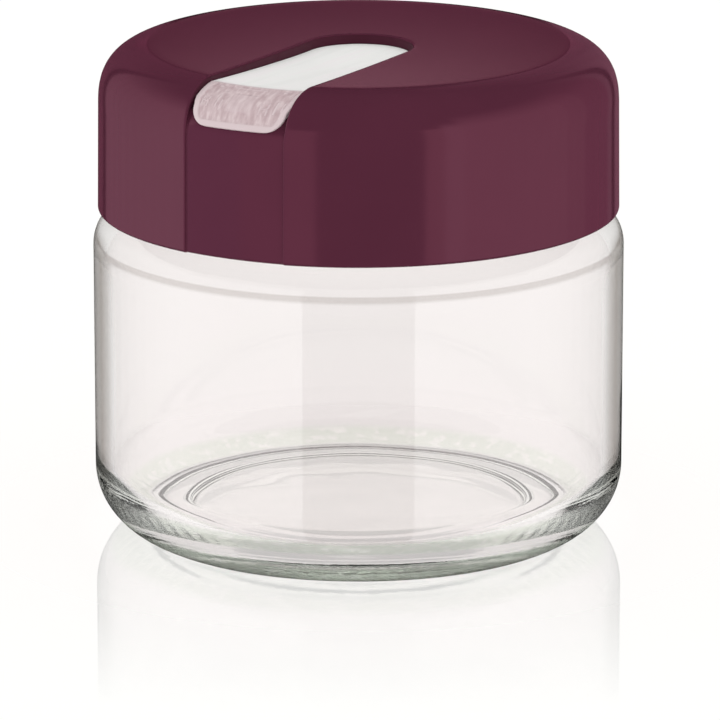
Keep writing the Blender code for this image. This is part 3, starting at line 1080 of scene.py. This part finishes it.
def window_plastic():
    """Frosted white on top; clear on the tongue, with moulding streaks, and with the lid's pink cast and
    highlights on rim and ribs painted in.
    """
    finish, tree, shader, place = new_finish("clear_plastic")
    far = distance_from_axis(tree, place)
    tongue = rising(tree, far, *FROST_END)
    streak = noise_of(tree, place, 500.0, 2.0, (1.0, 0.06, 1.0))
    frost = ramp_of(tree, streak, [
        (0.36, tuple(0.97 * channel for channel in FROST)),
        (0.5, FROST),
        (0.64, (0.99, 0.975, 0.98)),
    ])
    swirl = noise_of(tree, place, 1500.0, 3.0, (1.0, 0.35, 0.35))
    # Painted reflection: the tongue's pink stands for the cast that the plum lid round it throws into
    # the clear plastic.
    clear = ramp_of(tree, swirl, [
        (0.34, (0.62, 0.47, 0.495)), (0.5, (0.71, 0.56, 0.585)), (0.68, (0.83, 0.69, 0.71)),
    ])
    # Painted highlights: the tongue's rim and ribs are paler, as if they caught the light.
    clear = mixed(tree, painted(tree, "rim_highlight"), clear, RIM_HIGHLIGHT)
    tree.links.new(mixed(tree, tongue, frost, clear), shader.inputs["Base Color"])
    tree.links.new(range_of(tree, tongue, 0.45, 0.12), shader.inputs["Roughness"])
    tree.links.new(range_of(tree, tongue, 0.0, 0.12), shader.inputs["Transmission Weight"])
    relief_from(tree, shader, swirl, 0.25, 0.0001)
    shader.inputs["IOR"].default_value = 1.49
    return finish


clear_window.data.materials.append(window_plastic())
print("the window is frosted out to", FROST_END[0] * 1000, "mm from the axis")

# %% [markdown]
# ## Putting the pieces on the frame
#
# Every new piece rides on the jar's one body and stands for its plain counterpart, which is then hidden.

# %% Stand in for the plain pieces
STANDS_FOR = (
    (pressed_glass, "glass_jar", "clear_glass"),
    (plum_lid, "lid", "plum_plastic"),
    (clear_window, "lid_window", "clear_plastic"),
)
for piece, node, finish_slot in STANDS_FOR:
    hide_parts(node)
    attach(piece, "root")
    print(piece.name, "stands for", node)

# %% [markdown]
# ## The camera
#
# The picture was taken with a long lens about a metre away, some fifteen degrees above the table, with
# the window turned to the left. The camera is set from those facts. The tiny sideways shift only puts
# the jar's axis where the picture has it.

# %% Camera
CAMERA_TURN = 28.3
CAMERA_RISE = 14.85
CAMERA_DISTANCE = 1.0254
CAMERA_TARGET = Vector((0.0, 0.0, 0.02645))
CAMERA_LENS = 319.9
CAMERA_SHIFT = 0.00197


def make_camera():
    """A long lens that looks slightly down on the jar."""
    turn, rise = radians(CAMERA_TURN), radians(CAMERA_RISE)
    back = Vector((sin(turn) * cos(rise), -cos(turn) * cos(rise), sin(rise)))
    lens = bpy.data.cameras.new("camera")
    lens.lens = CAMERA_LENS
    lens.sensor_width = 36.0
    lens.shift_x = CAMERA_SHIFT
    lens.clip_start = 0.01
    lens.clip_end = 30.0
    camera = bpy.data.objects.new("camera", lens)
    camera.location = CAMERA_TARGET + back * CAMERA_DISTANCE
    camera.rotation_euler = (-back).to_track_quat("-Z", "Y").to_euler()
    bpy.context.scene.collection.objects.link(camera)
    bpy.context.scene.camera = camera
    print("camera at", [round(value, 3) for value in camera.location])


make_camera()

# %% [markdown]
# ## The floor
#
# The jar stands on a sheet of glossy white acrylic that is lit from below. That keeps the floor pale
# without a shadow, and its gloss gives the faint mirrored jar. The gloss fades out a little way from
# the jar, so that the rest of the floor stays plain. The floor isn't part of the jar.

# %% Floor
FLOOR_SIZE = 6.0
FLOOR_DROP = 0.00002
GLOSS_FADE = (0.050, 0.105)
GLOSS_SHARE = 0.34
GLOW_UNDER_JAR = 0.94
GLOW_AROUND = 0.90
JAR_REACH = (0.040, 0.046)


def floor_finish():
    """White acrylic, lit from below, with a mirror gloss close to the jar."""
    finish = bpy.data.materials.new("white_acrylic")
    finish.use_nodes = True
    tree = finish.node_tree
    tree.nodes.remove(tree.nodes["Principled BSDF"])
    place = tree.nodes.new("ShaderNodeTexCoord").outputs["Object"]
    far = distance_from_axis(tree, place)
    white = tree.nodes.new("ShaderNodeBsdfDiffuse")
    white.inputs["Color"].default_value = (0.12, 0.12, 0.118, 1.0)
    lit = tree.nodes.new("ShaderNodeEmission")
    lit.inputs["Color"].default_value = (1.0, 1.0, 0.985, 1.0)
    glow = range_of(tree, far, GLOW_UNDER_JAR, GLOW_AROUND, *JAR_REACH)
    tree.links.new(glow, lit.inputs["Strength"])
    sheet = tree.nodes.new("ShaderNodeAddShader")
    gloss = tree.nodes.new("ShaderNodeBsdfGlossy")
    gloss.inputs["Roughness"].default_value = 0.03
    gloss.inputs["Color"].default_value = (1.0, 0.955, 0.965, 1.0)
    mix = tree.nodes.new("ShaderNodeMixShader")
    tree.links.new(white.outputs["BSDF"], sheet.inputs[0])
    tree.links.new(lit.outputs["Emission"], sheet.inputs[1])
    tree.links.new(range_of(tree, far, GLOSS_SHARE, 0.0, *GLOSS_FADE), mix.inputs["Fac"])
    tree.links.new(sheet.outputs["Shader"], mix.inputs[1])
    tree.links.new(gloss.outputs["BSDF"], mix.inputs[2])
    tree.links.new(mix.outputs["Shader"], tree.nodes["Material Output"].inputs["Surface"])
    return finish


def make_floor():
    """A round sheet just below the jar's ring."""
    edge = [(FLOOR_SIZE * cos(a), FLOOR_SIZE * sin(a), -FLOOR_DROP) for a in spaced(0.0, 2.0 * pi, 0.1)]
    floor = piece_from("floor", edge[:-1], [tuple(range(len(edge) - 1))])
    floor.data.materials.append(floor_finish())
    return floor


floor = make_floor()

# %% [markdown]
# ## The light
#
# The room is a plain white all round, which gives soft light without a direction. The gloss of the lid
# and the glass comes from tall soft boxes at both sides, with a gap in the middle that leaves a darker
# band down the front. Blender can link a light to some objects only, so the lid, the glass and the floor
# each get their own, as if they had been photographed one after the other. Light that is caught in the
# glass bounces many times before it comes out, so the limits on bounces are raised.

# %% White room
MOST_BOUNCES = 28
GLASS_BOUNCES = 20


def make_room():
    """A white world that lights everything but isn't seen in gloss."""
    room = bpy.data.worlds.new("white_room")
    room.use_nodes = True
    background = room.node_tree.nodes["Background"]
    background.inputs["Color"].default_value = (1.0, 1.0, 0.985, 1.0)
    background.inputs["Strength"].default_value = 1.0
    bpy.context.scene.world = room
    room.cycles_visibility.glossy = False
    floor.visible_glossy = False
    bpy.context.scene.view_settings.view_transform = "Standard"
    bpy.context.scene.cycles.max_bounces = MOST_BOUNCES
    bpy.context.scene.cycles.glossy_bounces = GLASS_BOUNCES
    bpy.context.scene.cycles.transmission_bounces = GLASS_BOUNCES
    print("the room's gloss is off:", not room.cycles_visibility.glossy)


make_room()

# %% A soft box
BOX_DISTANCE = 4.0
BOX_LOW = -26.0
BOX_HIGH = 21.0
BOX_BASE = 0.065
WATTS_FOR_ONE = pi


def group_of(name, things):
    """A collection that only lists things, for linking lights to them."""
    group = bpy.data.collections.new(name)
    for thing in things:
        group.objects.link(thing)
    return group


JAR_ONLY = group_of("jar_only", [pressed_glass, plum_lid, clear_window])
LID_ONLY = group_of("lid_only", [plum_lid, clear_window])
GLASS_ONLY = group_of("glass_only", [pressed_glass])
FLOOR_ONLY = group_of("floor_only", [floor])


def hang(name, light, location, rotation, linked):
    """Puts a light where only the gloss of the pieces that are linked to it shows it."""
    lamp = bpy.data.objects.new(name, light)
    lamp.location = location
    lamp.rotation_euler = rotation
    lamp.visible_camera = False
    lamp.visible_diffuse = False
    lamp.visible_transmission = False
    bpy.context.scene.collection.objects.link(lamp)
    lamp.light_linking.receiver_collection = linked
    lamp.light_linking.blocker_collection = JAR_ONLY


def sheet_light(name, wide, high, strength=1.0):
    """A flat light whose face looks as bright as strength says."""
    light = bpy.data.lights.new(name, "AREA")
    light.shape = "RECTANGLE"
    light.size = wide
    light.size_y = high
    light.energy = WATTS_FOR_ONE * strength * wide * high
    return light


def fade_upward(light, from_share):
    """Lets a box fade out towards its upper end, from a share of its height."""
    light.use_nodes = True
    tree = light.node_tree
    place = tree.nodes.new("ShaderNodeNewGeometry").outputs["Parametric"]
    split = tree.nodes.new("ShaderNodeSeparateXYZ")
    tree.links.new(place, split.inputs["Vector"])
    fade = falling(tree, split.outputs["Y"], from_share, 1.0)
    tree.links.new(fade, tree.nodes["Emission"].inputs["Strength"])


def soft_box(name, start, end, colour, low=BOX_LOW, high=BOX_HIGH, fade=0.0, linked=LID_ONLY):
    """A flat light from one compass turn to another, in degrees to the right of the camera."""
    middle = radians(CAMERA_TURN + 0.5 * (start + end))
    half = radians(0.5 * (end - start))
    far = BOX_DISTANCE
    bottom = far * tan(radians(low))
    full = far * tan(radians(high))
    top = far * tan(radians(high + fade))
    strongest = max(colour)
    light = sheet_light(name, 2.0 * far * tan(half), top - bottom, strongest)
    light.color = [channel / strongest for channel in colour]
    if fade > 0.0:
        fade_upward(light, (full - bottom) / (top - bottom))
    away = Vector((sin(middle), -cos(middle), 0.0))
    location = away * far + Vector((0.0, 0.0, BOX_BASE + 0.5 * (top + bottom)))
    hang(name, light, location, away.to_track_quat("Z", "Y").to_euler(), linked)


print("boxes stand", BOX_DISTANCE, "m away")

# %% [markdown]
# A gloss grows towards an outline, so an even soft box would draw pale edges on the lid. A photographer
# feathers the light there, which means that less and less of it falls towards the back. Here the boxes
# beside the lid are cut into upright slices, and each slice is worked out from the gloss at the place on
# the lid that mirrors it. They are a little plum, like the light that a plum lid throws about itself.

# %% Feathered boxes for the lid
def gloss_at(turn):
    """Share of light that the lid's side mirrors, for a box at a turn from the camera."""
    facing = cos(radians(0.5 * turn)) * cos(radians(CAMERA_RISE))
    bent = sqrt(1.0 - (1.0 - facing * facing) / GLOSS_INDEX ** 2)
    across = (facing - GLOSS_INDEX * bent) / (facing + GLOSS_INDEX * bent)
    along = (GLOSS_INDEX * facing - bent) / (GLOSS_INDEX * facing + bent)
    share = 0.5 * (across * across + along * along)
    white = (share - 0.04) / 0.96
    return [0.04 * tint * (1.0 - white) + white for tint in GLOSS_TINT]


def feathered(name, start, end, lift, fade, slice_turn=7.0):
    """Upright slices of box that raise the lid's tone evenly by lift, from one turn to another."""
    edges = spaced(start, end, slice_turn)
    for number, (left, right) in enumerate(zip(edges, edges[1:])):
        gloss = gloss_at(0.5 * (left + right))
        plain = [(rise + PLUM[i] * gloss[0]) / gloss[i] for i, rise in enumerate(lift)]
        soft_box(f"{name}_{number}", left, right, plain, fade=fade)
    print(name, "has", len(edges) - 1, "slices")


SIDE_LIGHT = (
    ("left_rim", -176.0, -154.0, 22.0, (0.020, 0.008, 0.010)),
    ("left_far", -148.5, -79.4, 24.0, (0.0526, 0.0255, 0.0314)),
    ("left_panel", -79.4, -54.0, 16.0, (0.0130, 0.0050, 0.0090)),
    ("left_inner", -54.0, -33.0, 8.0, (0.0170, 0.0052, 0.0080)),
    ("left_near", -33.0, -18.5, 2.0, (0.0230, 0.0072, 0.0102)),
    ("right_near", 29.0, 38.0, 2.0, (0.0320, 0.0108, 0.0140)),
    ("right_bright", 38.0, 47.0, 12.0, (0.0460, 0.0180, 0.0240)),
    ("right_far", 47.0, 104.0, 24.0, (0.0410, 0.0155, 0.0205)),
    ("right_fade", 104.0, 118.0, 24.0, (0.0360, 0.0128, 0.0175)),
    ("right_dim", 118.0, 143.0, 24.0, (0.0260, 0.0078, 0.0120)),
    ("right_back", 143.0, 149.0, 24.0, (0.0400, 0.0200, 0.0250)),
    ("right_rim", 155.0, 176.0, 22.0, (0.0600, 0.0300, 0.0380)),
)
for name, start, end, fade, lift in SIDE_LIGHT:
    feathered(name, start, end, lift, fade)

# %% [markdown]
# The hollow top mirrors what stands low behind the jar, and shows it as a soft glow in its middle. A
# card with a spherical gradient gives that. The gradient is a texture on the light itself.

# %% A glow behind, for the lid's hollow top
GLOW_DISTANCE = 0.50
GLOW_WIDTH = 0.24
GLOW_RANGE = (0.074, 0.150)
GLOW_STOPS = [
    (0.0, (0.0, 0.0, 0.0)), (0.15, (0.03, 0.0, 0.006)), (0.35, (0.07, 0.006, 0.022)),
    (0.6, (0.21, 0.080, 0.106)), (0.85, (0.42, 0.190, 0.240)), (1.0, (0.60, 0.29, 0.36)),
]


def glow_behind():
    """A card behind the jar, brightest low in its middle, that the hollow top mirrors."""
    middle = radians(CAMERA_TURN + 180.0)
    light = sheet_light("glow_behind", GLOW_WIDTH, GLOW_RANGE[1] - GLOW_RANGE[0])
    light.use_nodes = True
    tree = light.node_tree
    place = tree.nodes.new("ShaderNodeNewGeometry").outputs["Parametric"]
    mapping = tree.nodes.new("ShaderNodeMapping")
    mapping.inputs["Location"].default_value = (-1.0, 0.0, 0.0)
    mapping.inputs["Scale"].default_value = (2.0, 1.0, 0.0)
    ball = tree.nodes.new("ShaderNodeTexGradient")
    ball.gradient_type = "SPHERICAL"
    tree.links.new(place, mapping.inputs["Vector"])
    tree.links.new(mapping.outputs["Vector"], ball.inputs["Vector"])
    glow = ramp_of(tree, ball.outputs["Fac"], GLOW_STOPS)
    tree.links.new(glow, tree.nodes["Emission"].inputs["Color"])
    away = Vector((sin(middle), -cos(middle), 0.0))
    location = away * GLOW_DISTANCE + Vector((0.0, 0.0, LID_TOP + 0.5 * sum(GLOW_RANGE)))
    hang("glow_behind", light, location, away.to_track_quat("Z", "Y").to_euler(), LID_ONLY)


glow_behind()
print("the glow stands", GLOW_DISTANCE, "m behind the jar")

# %% [markdown]
# The glass mirrors a tall box at each side. They weaken in steps towards the back, so that the sharp
# gloss along the outline stays quiet. The floor must mirror neither these nor the lid's boxes, only
# plain white, so it has white cards on four sides and one overhead.

# %% Boxes for the glass
GLASS_LIGHT = 1.8
HIGH_SHARE = 0.6
GLASS_EDGES = [24.0] + [84.0 + 7.0 * step for step in range(9)]
GLASS_STEPS_BACK = (1.0, 0.92, 0.80, 0.66, 0.52, 0.38, 0.25, 0.14, 0.06)
for side, word in ((-1.0, "left"), (1.0, "right")):
    for number, share in enumerate(GLASS_STEPS_BACK):
        start, end = sorted((side * GLASS_EDGES[number], side * GLASS_EDGES[number + 1]))
        bright = [share * GLASS_LIGHT] * 3
        pale = [HIGH_SHARE * share * GLASS_LIGHT] * 3
        soft_box(f"glass_{word}_{number}", start, end, bright, -40.0, -6.0, linked=GLASS_ONLY)
        soft_box(f"glass_{word}_high_{number}", start, end, pale, -6.0, 30.0, linked=GLASS_ONLY)
print("glass boxes have brightness", GLASS_LIGHT)

# %% Cards for the floor
CARD_WHITE = (1.02, 1.02, 1.0)
CARD_TOP = 60.0
for turn in (0.0, 90.0, 180.0, 270.0):
    name = f"floor_card_{turn:.0f}"
    soft_box(name, turn - 45.0, turn + 45.0, CARD_WHITE, -2.0, CARD_TOP, linked=FLOOR_ONLY)
above = Vector((0.0, 0.0, BOX_DISTANCE * tan(radians(CARD_TOP))))
width = 2.1 * BOX_DISTANCE
card = sheet_light("floor_card_above", width, width, CARD_WHITE[0])
hang("floor_card_above", card, above, (0.0, 0.0, 0.0), FLOOR_ONLY)
print("the card overhead is", round(width, 1), "m wide")
